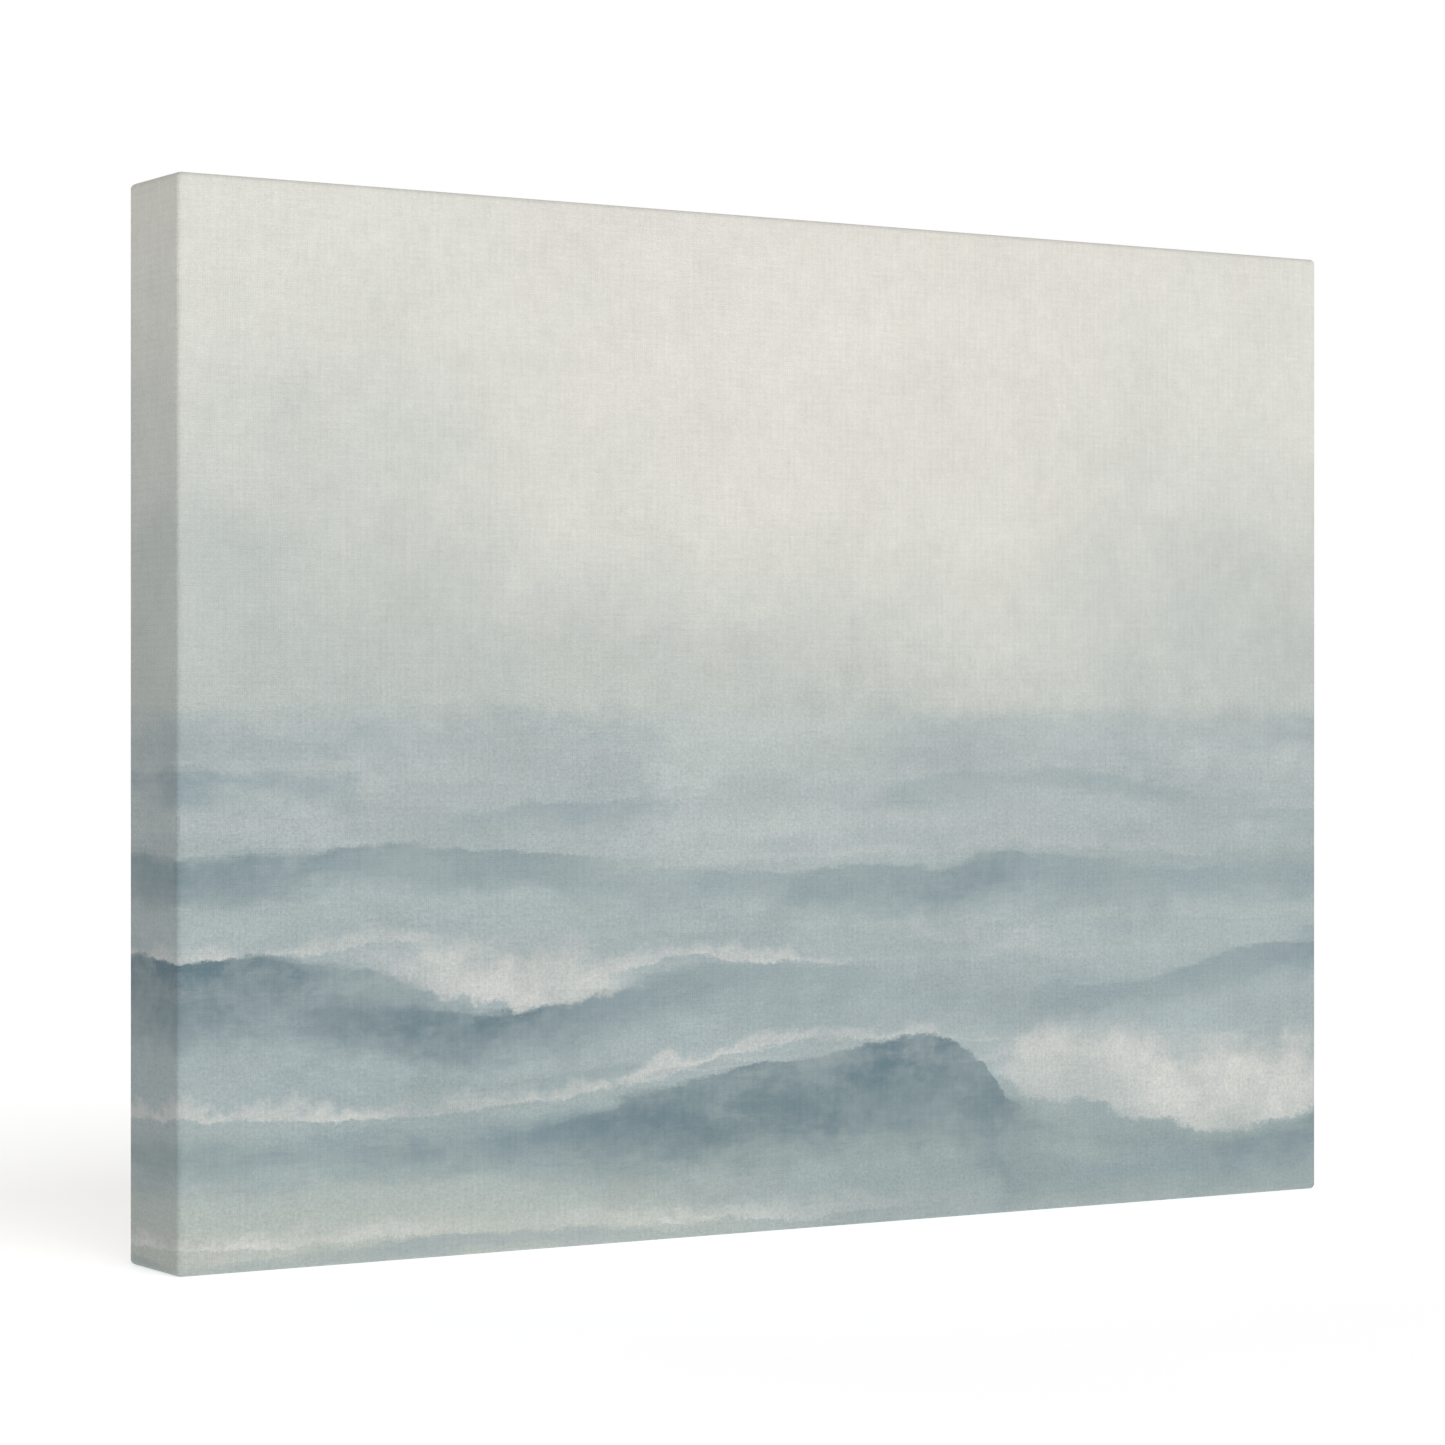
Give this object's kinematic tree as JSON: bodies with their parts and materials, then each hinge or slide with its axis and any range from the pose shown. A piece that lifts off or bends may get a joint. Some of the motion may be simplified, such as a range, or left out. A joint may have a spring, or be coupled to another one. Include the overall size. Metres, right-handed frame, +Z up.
{
  "type": "stretched canvas",
  "caption": "Gallery-wrapped picture canvas stapled over a wooden stretcher with interlocking corners, sliding wedge keys, a sawtooth hanger and rubber bumpers.",
  "frame": {"origin": "middle of the object's box at the level of its bottom edge, so it stands at z = 0", "axes": "+X to the right as seen from the front, +Y out of the back, +Z up; the picture faces -Y"},
  "size_m": [0.4082, 0.0366, 0.3066],
  "materials": {
    "canvas_cloth": "primed cotton weave with a printed matt seascape on the front and sides, bare white margins on the back",
    "pine": "planed, unfinished pine",
    "key_wood": "sawn, unfinished light wood",
    "steel_wire": "galvanised staple wire",
    "plated_steel": "yellow-plated sheet steel",
    "clear_rubber": "clear soft rubber"
  },
  "bodies": {
    "frame": {"canvas": "canvas_cloth", "stretcher_bar_bottom": "pine", "stretcher_bar_right": "pine", "stretcher_bar_top": "pine", "stretcher_bar_left": "pine", "staple_bottom_1": "steel_wire", "staple_bottom_2": "steel_wire", "staple_bottom_3": "steel_wire", "staple_bottom_4": "steel_wire", "staple_bottom_5": "steel_wire", "staple_bottom_6": "steel_wire", "staple_bottom_7": "steel_wire", "staple_bottom_8": "steel_wire", "staple_right_1": "steel_wire", "staple_right_2": "steel_wire", "staple_right_3": "steel_wire", "staple_right_4": "steel_wire", "staple_right_5": "steel_wire", "staple_right_6": "steel_wire", "staple_top_1": "steel_wire", "staple_top_2": "steel_wire", "staple_top_3": "steel_wire", "staple_top_4": "steel_wire", "staple_top_5": "steel_wire", "staple_top_6": "steel_wire", "staple_top_7": "steel_wire", "staple_top_8": "steel_wire", "staple_left_1": "steel_wire", "staple_left_2": "steel_wire", "staple_left_3": "steel_wire", "staple_left_4": "steel_wire", "staple_left_5": "steel_wire", "staple_left_6": "steel_wire", "sawtooth_hanger": "plated_steel", "hanger_nail_left": "plated_steel", "hanger_nail_right": "plated_steel", "bumper_left": "clear_rubber", "bumper_right": "clear_rubber"},
    "wedge_key_bottom_bar_left": {"wedge_key_bottom_bar_left": "key_wood"},
    "wedge_key_bottom_bar_right": {"wedge_key_bottom_bar_right": "key_wood"},
    "wedge_key_right_bar_bottom": {"wedge_key_right_bar_bottom": "key_wood"},
    "wedge_key_right_bar_top": {"wedge_key_right_bar_top": "key_wood"},
    "wedge_key_top_bar_right": {"wedge_key_top_bar_right": "key_wood"},
    "wedge_key_top_bar_left": {"wedge_key_top_bar_left": "key_wood"},
    "wedge_key_left_bar_top": {"wedge_key_left_bar_top": "key_wood"},
    "wedge_key_left_bar_bottom": {"wedge_key_left_bar_bottom": "key_wood"}
  },
  "joints": [
    {"name": "bottom_bar_left_key_slide", "type": "slide", "parent": "frame", "child": "wedge_key_bottom_bar_left", "axis": [0, 0, 1], "range_m": [0, 0.014]},
    {"name": "bottom_bar_right_key_slide", "type": "slide", "parent": "frame", "child": "wedge_key_bottom_bar_right", "axis": [0, 0, 1], "range_m": [0, 0.014]},
    {"name": "right_bar_bottom_key_slide", "type": "slide", "parent": "frame", "child": "wedge_key_right_bar_bottom", "axis": [-1, 0, 0], "range_m": [0, 0.014]},
    {"name": "right_bar_top_key_slide", "type": "slide", "parent": "frame", "child": "wedge_key_right_bar_top", "axis": [-1, 0, 0], "range_m": [0, 0.014]},
    {"name": "top_bar_right_key_slide", "type": "slide", "parent": "frame", "child": "wedge_key_top_bar_right", "axis": [0, 0, -1], "range_m": [0, 0.014]},
    {"name": "top_bar_left_key_slide", "type": "slide", "parent": "frame", "child": "wedge_key_top_bar_left", "axis": [0, 0, -1], "range_m": [0, 0.014]},
    {"name": "left_bar_top_key_slide", "type": "slide", "parent": "frame", "child": "wedge_key_left_bar_top", "axis": [1, 0, 0], "range_m": [0, 0.014]},
    {"name": "left_bar_bottom_key_slide", "type": "slide", "parent": "frame", "child": "wedge_key_left_bar_bottom", "axis": [1, 0, 0], "range_m": [0, 0.014]}
  ]
}
